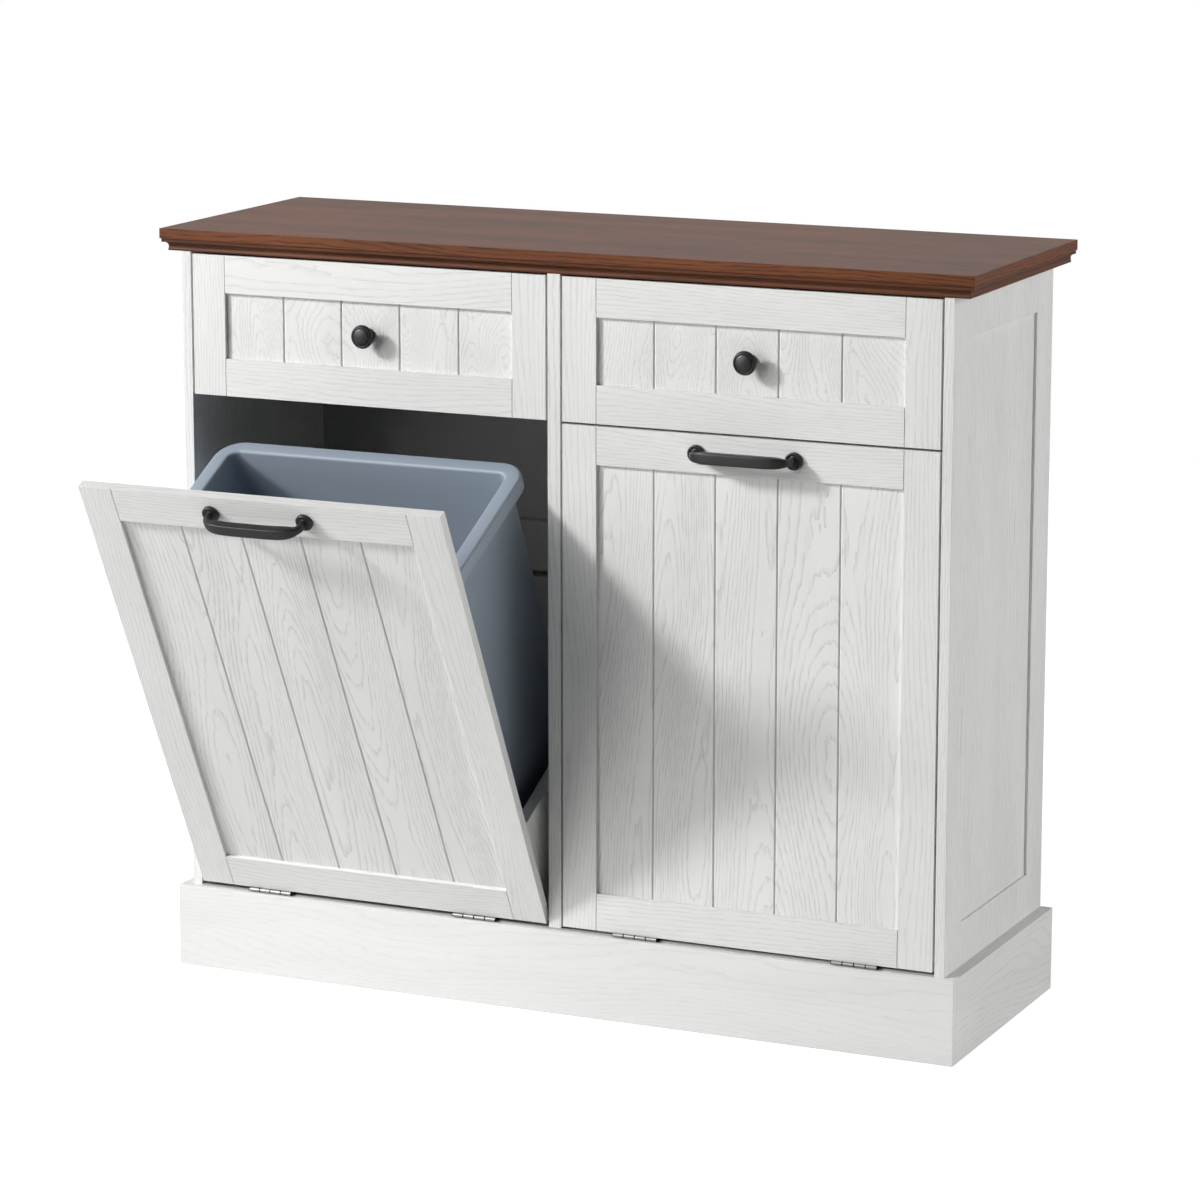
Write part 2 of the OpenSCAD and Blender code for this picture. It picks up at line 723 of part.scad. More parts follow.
// A mushroom knob on a flared foot, its face set off by a ring
module knob() {
    cap_r = knob_d / 2;
    cap_t = 8;
    neck_r = 5.5;
    foot_r = 8.5;
    foot_t = 2.5;
    dome = 2.4;
    ring_inset = 3;
    ring_w = 1.2;
    dome_r = (cap_r * cap_r + dome * dome) / (2 * dome);
    flare_r = 4;
    cap_z = knob_out - cap_t;
    edge_r = cap_t / 4;
    color(BLACK_METAL)
        translate([0, face_y + field_recess, drawer_z + drawer_h / 2]) rotate([90, 0, 0])
            rotate_extrude($fn = ROUND_FN) difference() {
                union() {
                    square([foot_r, foot_t]);
                    square([neck_r, cap_z + CUT]);
                    difference() {
                        translate([0, cap_z - flare_r]) square([neck_r + flare_r, flare_r]);
                        translate([neck_r + flare_r, cap_z - flare_r])
                            circle(flare_r, $fn = ROUND_FN);
                    }
                    translate([0, cap_z]) square([cap_r - edge_r, 2 * edge_r]);
                    translate([cap_r - edge_r, cap_z + edge_r]) circle(edge_r, $fn = ROUND_FN);
                    intersection() {
                        translate([0, knob_out - dome_r]) circle(dome_r, $fn = ROUND_FN * 2);
                        translate([0, cap_z + edge_r]) square([cap_r, cap_t]);
                    }
                }
                translate([-knob_d, -CUT]) square([knob_d, knob_out + 2 * CUT]);
                translate([cap_r - ring_inset, knob_out - dome]) square([ring_w, dome + CUT]);
            }
}

// Runners: a C section on the bay's wall with the drawer's C section running inside it
module runner_section(h, d) {
    difference() {
        translate([0, -h / 2]) square([d, h]);
        translate([runner_t, -h / 2 + runner_t]) square([d, h - 2 * runner_t]);
    }
}

module cabinet_runners(side) {
    depth = runner_space - runner_t - rail_fit;
    color(BRIGHT_METAL) translate([side * bay_x, 0, 0]) for (s = [0, 1]) mirror([s, 0, 0])
        translate([-bay_w / 2, front_back_y + behind_front + runner_len, runner_z]) rotate([90, 0, 0])
            linear_extrude(runner_len) {
                runner_section(runner_h, depth);
                for (m = [0, 1]) mirror([0, m])
                    translate([depth - runner_t, runner_h / 2 - runner_t - runner_lip])
                        square([runner_t, runner_lip + runner_t / 2]);
            }
}

module drawer_runners() {
    inside = runner_h - 2 * runner_t - 2 * runner_gap;
    depth = runner_space - runner_t - rail_fit;
    neck = runner_lip + runner_gap;
    color(BRIGHT_METAL) for (s = [0, 1]) mirror([s, 0, 0])
        translate([-box_w / 2, front_back_y + behind_front + runner_len, runner_z]) rotate([90, 0, 0])
            linear_extrude(runner_len) mirror([1, 0]) {
                translate([0, -inside / 2 + neck]) square([runner_t, inside - 2 * neck]);
                for (m = [0, 1]) mirror([0, m]) {
                    translate([0, inside / 2 - neck - runner_t])
                        square([depth - runner_t - runner_gap, runner_t]);
                    translate([runner_t + rail_fit + runner_t + runner_gap,
                               inside / 2 - neck - runner_t])
                        square([runner_t, neck + runner_t]);
                }
            }
}

// Placing

// Turns what it holds about the hinge axis; a positive angle tilts the door's head outwards
module tilted(angle) {
    translate([0, hinge_y, hinge_z]) rotate([angle, 0, 0]) translate([0, -hinge_y, -hinge_z])
        children();
}

// The left door stands open on its stops and the right door is shut
module on_door(side) {
    translate([side * bay_x, 0, 0]) tilted(side == LEFT ? tilt_angle : 0) children();
}

module on_drawer(side) {
    translate([side * bay_x, 0, 0]) children();
}

top_panel();
moulding_front();
moulding_side(LEFT);  // moulding_left
moulding_side(RIGHT);  // moulding_right
top_back_strip();
side_panel(LEFT);  // side_panel_left
side_panel(RIGHT);  // side_panel_right
divider();
floor_panel();
back_upper();
back_lower();
back_rail(LEFT);  // back_rail_left
back_rail(RIGHT);  // back_rail_right
plinth_front();
plinth_side(LEFT);  // plinth_left
plinth_side(RIGHT);  // plinth_right
plinth_back();
plinth_centre();
stretcher(LEFT);  // stretcher_left
stretcher(RIGHT);  // stretcher_right
tilt_stops();
cabinet_runners(LEFT);  // runners_left
cabinet_runners(RIGHT);  // runners_right
hinge_leaves_floor();
hinge_pins();
on_door(LEFT) front_frame(door_h, door_z);  // left_door_frame
on_door(LEFT) front_boards(LEFT, door_h, door_z);  // left_door_boards
on_door(LEFT) pull();  // left_door_pull
on_door(LEFT) door_hinge_leaves();  // left_hinge_leaves
on_door(LEFT) carrier_side(LEFT);  // left_carrier_side_outer
on_door(LEFT) carrier_side(RIGHT);  // left_carrier_side_inner
on_door(LEFT) carrier_back();  // left_carrier_back
on_door(LEFT) carrier_floor();  // left_carrier_floor
on_door(LEFT) bin();  // left_bin
on_door(RIGHT) front_frame(door_h, door_z);  // right_door_frame
on_door(RIGHT) front_boards(RIGHT, door_h, door_z);  // right_door_boards
on_door(RIGHT) pull();  // right_door_pull
on_door(RIGHT) door_hinge_leaves();  // right_hinge_leaves
on_door(RIGHT) carrier_side(RIGHT);  // right_carrier_side_outer
on_door(RIGHT) carrier_side(LEFT);  // right_carrier_side_inner
on_door(RIGHT) carrier_back();  // right_carrier_back
on_door(RIGHT) carrier_floor();  // right_carrier_floor
on_door(RIGHT) bin();  // right_bin
on_drawer(LEFT) front_frame(drawer_h, drawer_z);  // left_drawer_frame
on_drawer(LEFT) front_boards(LEFT, drawer_h, drawer_z);  // left_drawer_boards
on_drawer(LEFT) drawer_side(LEFT);  // left_drawer_side_outer
on_drawer(LEFT) drawer_side(RIGHT);  // left_drawer_side_inner
on_drawer(LEFT) drawer_back();  // left_drawer_back
on_drawer(LEFT) drawer_bottom();  // left_drawer_bottom
on_drawer(LEFT) knob();  // left_drawer_knob
on_drawer(LEFT) drawer_runners();  // left_drawer_runners
on_drawer(RIGHT) front_frame(drawer_h, drawer_z);  // right_drawer_frame
on_drawer(RIGHT) front_boards(RIGHT, drawer_h, drawer_z);  // right_drawer_boards
on_drawer(RIGHT) drawer_side(RIGHT);  // right_drawer_side_outer
on_drawer(RIGHT) drawer_side(LEFT);  // right_drawer_side_inner
on_drawer(RIGHT) drawer_back();  // right_drawer_back
on_drawer(RIGHT) drawer_bottom();  // right_drawer_bottom
on_drawer(RIGHT) knob();  // right_drawer_knob
on_drawer(RIGHT) drawer_runners();  // right_drawer_runners
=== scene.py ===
"""Dresses the tilt-out trash cabinet: oak-grain film, brown top, bins, pulls, knobs and hinges."""
import json
import math

import bmesh
import bpy
from mathutils import Matrix, Vector


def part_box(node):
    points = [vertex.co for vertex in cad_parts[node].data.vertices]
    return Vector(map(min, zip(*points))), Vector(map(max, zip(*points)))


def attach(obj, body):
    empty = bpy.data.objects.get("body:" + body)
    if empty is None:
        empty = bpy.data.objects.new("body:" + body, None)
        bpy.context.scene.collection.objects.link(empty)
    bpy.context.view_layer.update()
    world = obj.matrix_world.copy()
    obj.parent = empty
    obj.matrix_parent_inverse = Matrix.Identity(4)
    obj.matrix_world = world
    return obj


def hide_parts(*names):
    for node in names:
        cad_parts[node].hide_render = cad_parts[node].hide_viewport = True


bl_info = {
    "name": "Tilt-out trash cabinet",
    "version": (1, 0, 0),
    "blender": (4, 5, 0),
    "location": "3D View > Sidebar > Cabinet",
    "description": "Finishes and small parts of a tilt-out trash cabinet",
    "category": "Object",
}

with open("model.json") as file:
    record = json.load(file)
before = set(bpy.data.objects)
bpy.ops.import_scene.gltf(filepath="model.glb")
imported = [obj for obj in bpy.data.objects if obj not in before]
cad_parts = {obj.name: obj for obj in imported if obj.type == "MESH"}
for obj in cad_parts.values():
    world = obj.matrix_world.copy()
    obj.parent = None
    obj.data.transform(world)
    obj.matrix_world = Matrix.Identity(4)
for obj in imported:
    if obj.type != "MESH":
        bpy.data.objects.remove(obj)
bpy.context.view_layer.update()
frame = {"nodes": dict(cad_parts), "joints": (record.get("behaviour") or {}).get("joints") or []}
NODES = frame["nodes"]
JOINTS = {j["name"]: j for j in frame["joints"]}

MM = 0.001
SIDES = {"left": -1, "right": 1}

# The left door rests tilted out: its closed place is a turn about its hinge away
HINGE = Vector(JOINTS["left_door_tilt"]["pos_m"])
TILT = math.radians(-JOINTS["left_door_tilt"]["range_deg"][0])
BAY_X = abs(HINGE.x)

# Fronts: their outer and rear faces, the boards' face, the depth of a groove, and how far from
# the middle of its bay a level rail meets the upright stile
STILE_WIDTH = 0.0425
GROOVE_DEPTH = 0.0016
DOOR_LO, DOOR_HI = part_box("right_door_frame")
FACE_Y, REAR_Y = DOOR_LO.y, DOOR_HI.y
FIELD_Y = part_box("right_door_boards")[0].y
SEAM_X = DOOR_HI.x - BAY_X - STILE_WIDTH

# Bins, pulls and knobs, from the right side's, which rest shut
BIN_LO, BIN_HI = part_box("right_bin")
PULL_LO, PULL_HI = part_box("right_door_pull")
PULL_SHIFT = (PULL_LO.x + PULL_HI.x) / 2 - BAY_X
PULL_Z = (PULL_LO.z + PULL_HI.z) / 2
KNOB_LO, KNOB_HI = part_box("right_drawer_knob")
KNOB_Z = (KNOB_LO.z + KNOB_HI.z) / 2

# Hinges: each has four knuckles, and its middle lies HINGE_OUT from the middle of its bay
HINGE_LENGTH = 0.056
KNUCKLE_GAP = 0.0007
KNUCKLE_PITCH = (HINGE_LENGTH + KNUCKLE_GAP) / 4
LEAF = 0.0012
HINGE_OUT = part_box("right_hinge_leaves")[1].x - BAY_X - HINGE_LENGTH / 2


def tilt_matrix(side):
    """The turn that takes a piece from the shut door to where that side's door rests."""
    angle = TILT if side == "left" else 0.0
    pivot = Matrix.Translation(HINGE)
    return pivot @ Matrix.Rotation(angle, 4, "X") @ pivot.inverted()


# Sizes and colours that a user would change

def linear(hex_code):
    """An sRGB hex colour as linear red, green, blue and alpha."""
    parts = [int(hex_code[i:i + 2], 16) / 255 for i in (1, 3, 5)]
    return [c / 12.92 if c <= 0.04045 else ((c + 0.055) / 1.055) ** 2.4 for c in parts] + [1.0]


def size_prop(name, text, default):
    return bpy.props.FloatProperty(name=name, description=text, default=default, min=0.0,
                                   subtype="DISTANCE", unit="LENGTH", precision=4)


def colour_prop(name, text, hex_code):
    return bpy.props.FloatVectorProperty(name=name, description=text, size=4, min=0.0, max=1.0,
                                         subtype="COLOR", default=linear(hex_code))


class CabinetSizes(bpy.types.PropertyGroup):
    board_edge: size_prop("Board edge", "Rounding of a board's edges", 0.0006)
    grip_height: size_prop("Grip height", "Height of a pull's grip in the middle", 0.0135)
    grip_thickness: size_prop("Grip thickness", "Thickness of a pull's grip in the middle", 0.011)
    leg_height: size_prop("Leg height", "Height of a pull's legs", 0.0086)
    leg_thickness: size_prop("Leg thickness", "Thickness of a pull's legs", 0.0082)
    rosette_width: size_prop("Rosette width", "Diameter of a pull's rosettes", 0.0205)
    rim_edge: size_prop("Rim edge", "Rounding of the bins' rims", 0.0035)


class CabinetColours(bpy.types.PropertyGroup):
    film: colour_prop("White film", "Ground of the white oak-grain film", "#EAEAE8")
    film_line: colour_prop("White film lines", "Growth lines of the white film", "#A9A6A2")
    # Painted shade: the greyer ground darkens the boards inside the case
    inner_shade_film: colour_prop("Inner shade film", "Ground of the film on the inner boards", "#A9A9A7")
    stain: colour_prop("Brown film", "Ground of the brown film on the top", "#733E1B")
    # Painted shade: the moulding's darker ground stands for the shade under the top
    moulding_shade_stain: colour_prop("Moulding film", "Ground of the moulding's film", "#5E3114")
    stain_line: colour_prop("Brown film lines", "Growth lines of the brown film", "#2B160B")
    bin_body: colour_prop("Bins", "Moulded plastic of the bins", "#9EAAB8")
    black: colour_prop("Black coating", "Powder coating of the pulls and knobs", "#1B1B1B")
    nickel: colour_prop("Nickel", "Plating of the hinges", "#A5A39F")
    zinc: colour_prop("Zinc", "Plating of the runners and screws", "#B4B7BC")
    # Painted shade: dark pins and knuckle ends stand for the shade in the hinges' gaps
    gap_shade: colour_prop("Gap shade", "Dark oil on the pins and between the knuckles", "#1E1D1C")


# Materials

def add(tree, kind, inputs=(), **settings):
    """Adds one node with its settings and links.

    Its inputs go by its sockets' names or numbers, or in their order. Each is a value, a socket
    that feeds it, or a node whose first output does. Map Range takes the value, what it runs from
    and to, and what these two become. Mix takes two vectors at 4 and 5, and two colours at 6 and 7.
    """
    made = tree.nodes.new(kind)
    for key, value in settings.items():
        setattr(made, key, value)
    for key, value in inputs.items() if isinstance(inputs, dict) else enumerate(inputs):
        if isinstance(value, bpy.types.Node):
            value = value.outputs[0]
        if isinstance(value, bpy.types.NodeSocket):
            tree.links.new(value, made.inputs[key])
        else:
            made.inputs[key].default_value = value
    return made


def new_material(name):
    """An empty material with its node tree."""
    material = bpy.data.materials.new(name)
    material.use_nodes = True
    material.node_tree.nodes.clear()
    return material, material.node_tree


# Oak grain, in millimetres and in numbers of growth lines
RIDGE_PITCH = 150.0         # from one crest of the figure to the next
RIDGE_SWAY = 150.0          # how far the crests can wander to the side
RIDGE_LINES = 4.6           # lines from half height up to a crest
HILL_LINES = 22.0           # lines from the lowest hollow to the highest hill
STRAIGHT_PITCH = 3.1        # from one straight line to the next
STRAIGHT_SWAY = 7.0         # lines by which the straight ones can wander
WOBBLE = 0.7                # lines by which each one wobbles
LINE_WIDTH = 1.2            # width of a line, before the limits
NARROW, WIDE = 0.26, 0.62   # least and most of the room between two lines that one takes
PORE_SHADE = 0.12           # how dark a pore is, as a share of a line
PORE_DEPTH = 0.3            # how deep a pore is pressed, as a share of a line


def grain_group():
    """Printed oak grain that runs along Z, worked out from millimetres.

    Growth lines are the level lines of a height field. Ridges across the boards give close,
    nearly straight lines on their flanks, and long soft hills bend these into arches and eyes
    along the crests, as on a plain-sawn board. Figure 0 leaves only straight lines.
    """
    group = bpy.data.node_groups.new("oak grain", "ShaderNodeTree")
    face = group.interface
    face.new_socket("Place", in_out="INPUT", socket_type="NodeSocketVector")
    face.new_socket("Figure", in_out="INPUT", socket_type="NodeSocketFloat")
    for name in ("Lines", "Fibre", "Tone"):
        face.new_socket(name, in_out="OUTPUT", socket_type="NodeSocketFloat")
    given = add(group, "NodeGroupInput").outputs
    place, figure = given["Place"], given["Figure"]

    def waver(at, across, along, detail=0.0):
        """Wavers softly from 0 to 1, over so many millimetres across and along the grain."""
        scaled = add(group, "ShaderNodeVectorMath", (at, (1 / across, 1 / across, 1 / along)),
                     operation="MULTIPLY")
        return add(group, "ShaderNodeTexNoise", {"Vector": scaled, "Scale": 1.0, "Detail": detail})

    def growth(aside):
        """The height field at a point some millimetres aside; its whole numbers are the lines."""
        at = add(group, "ShaderNodeVectorMath", (place, aside), operation="ADD")
        parts = add(group, "ShaderNodeSeparateXYZ", (at,)).outputs
        x = add(group, "ShaderNodeMath", (parts["X"], parts["Y"]), operation="ADD")
        swayed = add(group, "ShaderNodeMath", (waver(at, 210, 800), RIDGE_SWAY, x),
                     operation="MULTIPLY_ADD")
        turn = add(group, "ShaderNodeMath", (swayed, 2 * math.pi / RIDGE_PITCH),
                   operation="MULTIPLY")
        ridge = add(group, "ShaderNodeMath", (turn,), operation="COSINE")
        hills = add(group, "ShaderNodeMath", (waver(at, 130, 400, 0.6), HILL_LINES),
                    operation="MULTIPLY")
        figured = add(group, "ShaderNodeMath", (ridge, RIDGE_LINES, hills),
                      operation="MULTIPLY_ADD")
        wander = add(group, "ShaderNodeMath", (waver(at, 45, 260), STRAIGHT_SWAY),
                     operation="MULTIPLY")
        straight = add(group, "ShaderNodeMath", (x, 1 / STRAIGHT_PITCH, wander),
                       operation="MULTIPLY_ADD")
        apart = add(group, "ShaderNodeMath", (figured, straight), operation="SUBTRACT")
        field = add(group, "ShaderNodeMath", (figure, apart, straight), operation="MULTIPLY_ADD")
        return add(group, "ShaderNodeMath", (waver(at, 7, 30, 1.0), WOBBLE, field),
                   operation="MULTIPLY_ADD")

    # Lines that are far apart are drawn a little wider than close ones
    field = growth((0, 0, 0))
    rise = add(group, "ShaderNodeMath", (growth((1, 0, 0)), field), operation="SUBTRACT")
    slope = add(group, "ShaderNodeMath", (rise,), operation="ABSOLUTE")
    root = add(group, "ShaderNodeMath", (slope,), operation="SQRT")
    spread = add(group, "ShaderNodeMath", (root, LINE_WIDTH), operation="MULTIPLY")
    span = add(group, "ShaderNodeClamp", (spread, NARROW, WIDE))
    phase = add(group, "ShaderNodeMath", (field,), operation="FRACT")
    line = add(group, "ShaderNodeMapRange", (phase, 0.0, span, 1.0, 0.0))

    # Each line is made of strokes, and pores lie between. Real pores are about 0.3 mm wide and
    # wouldn't show, so they are drawn at 0.9 mm
    strokes = add(group, "ShaderNodeMapRange", (waver(place, 2.2, 28, 1.0), 0.38, 0.58, 0.25, 1.0))
    lines = add(group, "ShaderNodeMath", (line, strokes), operation="MULTIPLY")
    fibre = add(group, "ShaderNodeMapRange", (waver(place, 0.9, 22, 1.0), 0.35, 0.65))
    add(group, "NodeGroupOutput", {"Lines": lines, "Fibre": fibre,
                                   "Tone": waver(place, 60, 300, 2.0)})
    return group


# Turns that bring a board's grain, along the axis named, to Z
TURNS = {"X": (0.0, math.radians(-90), 0.0), "Y": (math.radians(90), 0.0, 0.0),
         "Z": (0.0, 0.0, 0.0)}


def closed_place(tree, side):
    """Where a point of that side's door lies when the door is shut, in object coordinates."""
    place = add(tree, "ShaderNodeTexCoord").outputs["Object"]
    if side == "left":
        back = tilt_matrix("left").inverted()
        place = add(tree, "ShaderNodeMapping", {"Vector": place, "Location": back.to_translation(),
                                                "Rotation": back.to_euler()})
    return place


def grain_place(tree, place, grain, shift, tighter=(1, 1)):
    """Millimetres from a point of the film, with its grain along Z.

    The figure may be tighter across and along the grain, so many times.
    """
    across, along = (t / MM for t in tighter)
    return add(tree, "ShaderNodeMapping", {"Vector": place, "Location": shift,
                                           "Rotation": TURNS[grain],
                                           "Scale": (across, across, along)})


def framed(tree, place, side, upright, level):
    """Upright values on a front's stiles and level ones on its rails, parted at the seams."""
    x = add(tree, "ShaderNodeSeparateXYZ", (place,)).outputs["X"]
    from_middle = add(tree, "ShaderNodeMath", (x, SIDES[side] * BAY_X), operation="SUBTRACT")
    aside = add(tree, "ShaderNodeMath", (from_middle,), operation="ABSOLUTE")
    on_rail = add(tree, "ShaderNodeMath", (aside, SEAM_X), operation="LESS_THAN")
    return add(tree, "ShaderNodeMix", {"Factor": on_rail, 4: upright, 5: level},
               data_type="VECTOR").outputs[1]


def banded(tree, place, half_length, along, ends):
    """Values along a board, and others on the banding that covers its two ends."""
    banding = 0.0005
    x = add(tree, "ShaderNodeSeparateXYZ", (place,)).outputs["X"]
    aside = add(tree, "ShaderNodeMath", (x,), operation="ABSOLUTE")
    on_end = add(tree, "ShaderNodeMath", (aside, half_length - banding), operation="GREATER_THAN")
    return add(tree, "ShaderNodeMix", {"Factor": on_end, 4: along, 5: ends},
               data_type="VECTOR").outputs[1]


def groove_painted_shade(tree, place):
    """Painted shade: all of the colour on the boards' face, less towards a groove's bottom."""
    bottom, starts, room = 0.4, GROOVE_DEPTH * 0.45, 0.2 * MM
    y = add(tree, "ShaderNodeSeparateXYZ", (place,)).outputs["Y"]
    depth = add(tree, "ShaderNodeMath", (y, FIELD_Y), operation="SUBTRACT")
    # The painted shade leaves 0.4 of the colour at the bottom of a groove
    left = add(tree, "ShaderNodeMapRange", (depth, starts, GROOVE_DEPTH, 1.0, bottom))
    # Whatever lies deeper than the grooves keeps all its colour, with no painted shade
    unshaded = add(tree, "ShaderNodeMath", (depth, GROOVE_DEPTH + room), operation="GREATER_THAN")
    return add(tree, "ShaderNodeMath", (left, unshaded), operation="MAXIMUM")


def film(name, grain, ground, line, depth, roughness, door="", front="", shift=(0, 0, 0),
         figure=1.0, strength=0.38, sheen=0.5, tighter=(1, 1), cloud=0.025, grooved=False,
         half_length=0.0):
    """Printed paper film on board: an even ground, darker growth lines and a light emboss.

    The grain runs along the axis given. A film on a door names that door's side, and one on a
    framed front names the front's side. A board with banded ends gives half its length.
    """
    material, tree = new_material(name)
    place = closed_place(tree, door)
    if front:
        fitted = framed(tree, place, front, grain_place(tree, place, "Z", shift),
                        grain_place(tree, place, "X", shift))
    else:
        fitted = grain_place(tree, place, grain, shift, tighter)
    if half_length:
        fitted = banded(tree, place, half_length, fitted, grain_place(tree, place, "Y", shift))
    oak = add(tree, "ShaderNodeGroup", {"Place": fitted, "Figure": figure},
              node_tree=bpy.data.node_groups.get("oak grain") or grain_group()).outputs
    lined = add(tree, "ShaderNodeMath", (oak["Lines"], strength), operation="MULTIPLY")
    amount = add(tree, "ShaderNodeMath", (oak["Fibre"], strength * PORE_SHADE, lined),
                 operation="MULTIPLY_ADD")
    colour = add(tree, "ShaderNodeMix", {"Factor": amount, 6: ground, 7: line},
                 data_type="RGBA", clamp_factor=True).outputs[2]
    tone = add(tree, "ShaderNodeMapRange", (oak["Tone"], 0.35, 0.65, 1 - cloud, 1 + cloud))
    toned = add(tree, "ShaderNodeVectorMath", {0: colour, "Scale": tone}, operation="SCALE")
    # Painted shade darkens the bottom of the boards' grooves
    if grooved:
        toned = add(tree, "ShaderNodeVectorMath", {0: toned, "Scale": groove_painted_shade(tree, place)},
                    operation="SCALE")
    height = add(tree, "ShaderNodeMath", (oak["Fibre"], PORE_DEPTH, oak["Lines"]),
                 operation="MULTIPLY_ADD")
    bump = add(tree, "ShaderNodeBump", {"Height": height, "Distance": depth}, invert=True)
    shader = add(tree, "ShaderNodeBsdfPrincipled", {
        "Base Color": toned, "Roughness": roughness, "IOR": 1.46, "Specular IOR Level": sheen,
        "Normal": bump})
    add(tree, "ShaderNodeOutputMaterial", {"Surface": shader})
    return material


def white_film(name, grain, colours, **changes):
    """The white film, with its lines pressed 0.15 mm deep, and what is changed from that."""
    white = {"ground": colours.film, "line": colours.film_line, "depth": 0.15 * MM,
             "roughness": 0.5}
    return film(name, grain, **(white | changes))


def cast_black(colours):
    """Powder-coated zinc casting: a satin black that breaks highlights with a very fine texture."""
    name = "Powder-coated zinc, black"
    if name in bpy.data.materials:
        return bpy.data.materials[name]
    material, tree = new_material(name)
    place = add(tree, "ShaderNodeTexCoord").outputs["Object"]
    # The coating's grit is about 0.3 mm and wouldn't show, so it is drawn at 1.2 mm
    grit = add(tree, "ShaderNodeTexNoise", {"Vector": place, "Scale": 1 / (1.2 * MM),
                                            "Detail": 3.0})
    bump = add(tree, "ShaderNodeBump", {"Height": grit, "Distance": 0.12 * MM, "Strength": 0.6})
    shader = add(tree, "ShaderNodeBsdfPrincipled", {
        "Base Color": colours.black, "Roughness": 0.42, "IOR": 1.5, "Specular IOR Level": 0.6,
        "Normal": bump})
    add(tree, "ShaderNodeOutputMaterial", {"Surface": shader})
    return material


def moulded_bin(colours):
    """Injection-moulded polypropylene: waxy blue-grey with a soft sheen and a faint mould grain."""
    material, tree = new_material("Moulded polypropylene, blue-grey")
    place = add(tree, "ShaderNodeTexCoord").outputs["Object"]
    # The mould's grain is about 0.5 mm and wouldn't show, so it is drawn at 1.6 mm
    grit = add(tree, "ShaderNodeTexNoise", {"Vector": place, "Scale": 1 / (1.6 * MM),
                                            "Detail": 2.0})
    bump = add(tree, "ShaderNodeBump", {"Height": grit, "Distance": 0.08 * MM, "Strength": 0.5})
    cloud = add(tree, "ShaderNodeTexNoise", {"Vector": place, "Scale": 7.0, "Detail": 2.0})
    rough = add(tree, "ShaderNodeMapRange", (cloud, 0.3, 0.7, 0.52, 0.60))
    shader = add(tree, "ShaderNodeBsdfPrincipled", {
        "Base Color": colours.bin_body, "Roughness": rough, "IOR": 1.49,
        "Specular IOR Level": 0.8, "Normal": bump})
    add(tree, "ShaderNodeOutputMaterial", {"Surface": shader})
    return material


def knuckle_gap_shade(tree, place):
    """1 where two knuckles of a hinge meet, for painted shade in the gap, 0 elsewhere."""
    x = add(tree, "ShaderNodeSeparateXYZ", (place,)).outputs["X"]
    out = add(tree, "ShaderNodeMath", (x,), operation="ABSOLUTE")
    from_bay = add(tree, "ShaderNodeMath", (out, BAY_X), operation="SUBTRACT")
    aside = add(tree, "ShaderNodeMath", (from_bay,), operation="ABSOLUTE")
    from_hinge = add(tree, "ShaderNodeMath", (aside, HINGE_OUT), operation="SUBTRACT")
    along = add(tree, "ShaderNodeMath", (from_hinge, KNUCKLE_PITCH / 2), operation="PINGPONG")
    return add(tree, "ShaderNodeMapRange", (along, 0.5 * MM, 1.0 * MM, 1.0, 0.0))


def plated(name, colour, roughness, brushing, gap_shade=None):
    """Plated or brushed steel: a bright metal with fine lines along its length.

    Brushing gives the lines per metre along each axis. Real ones are about 0.1 mm apart and
    wouldn't show, so they are drawn a millimetre apart. Painted shade darkens knuckles' ends.
    """
    material, tree = new_material(name)
    place = add(tree, "ShaderNodeTexCoord").outputs["Object"]
    drawn = add(tree, "ShaderNodeMapping", {"Vector": place, "Scale": brushing})
    lines = add(tree, "ShaderNodeTexNoise", {"Vector": drawn, "Scale": 1.0, "Detail": 3.0})
    rough = add(tree, "ShaderNodeMapRange", (lines, 0.3, 0.7, roughness * 0.85, roughness * 1.2))
    bump = add(tree, "ShaderNodeBump", {"Height": lines, "Distance": 0.03 * MM, "Strength": 0.5})
    # Painted shade: the colour turns dark at the ends of each knuckle
    if gap_shade is not None:
        colour = add(tree, "ShaderNodeMix", {"Factor": knuckle_gap_shade(tree, place), 6: colour, 7: gap_shade},
                     data_type="RGBA").outputs[2]
    shader = add(tree, "ShaderNodeBsdfPrincipled", {
        "Base Color": colour, "Metallic": 1.0, "Roughness": rough, "Normal": bump})
    add(tree, "ShaderNodeOutputMaterial", {"Surface": shader})
    return material


# Mesh helpers

def make_object(name, build, material, smooth=True):
    """A new object whose mesh the build function makes."""
    mesh = bpy.data.meshes.new(name)
    bm = bmesh.new()
    build(bm)
    bmesh.ops.recalc_face_normals(bm, faces=bm.faces)
    for f in bm.faces:
        f.smooth = smooth
    bm.to_mesh(mesh)
    bm.free()
    mesh.materials.append(material)
    obj = bpy.data.objects.new(name, mesh)
    bpy.context.scene.collection.objects.link(obj)
    return obj


def around(steps):
    """Angles in equal steps, once round a circle."""
    return [2 * math.pi * i / steps for i in range(steps)]


def loft(bm, rings):
    """Joins rings that have the same number of points, and closes both ends."""
    rows = [[bm.verts.new(p) for p in ring] for ring in rings]
    n = len(rows[0])
    for a, b in zip(rows, rows[1:]):
        for i in range(n):
            bm.faces.new((a[i], a[(i + 1) % n], b[(i + 1) % n], b[i]))
    bm.faces.new(rows[0])
    bm.faces.new(rows[-1])


def lathe(bm, profile, place, steps):
    """Turns (radius, distance out) pairs about the line that runs out of the front, -Y."""
    loft(bm, [[place + Vector((radius * math.cos(a), -out, radius * math.sin(a)))
               for a in around(steps)] for radius, out in profile])


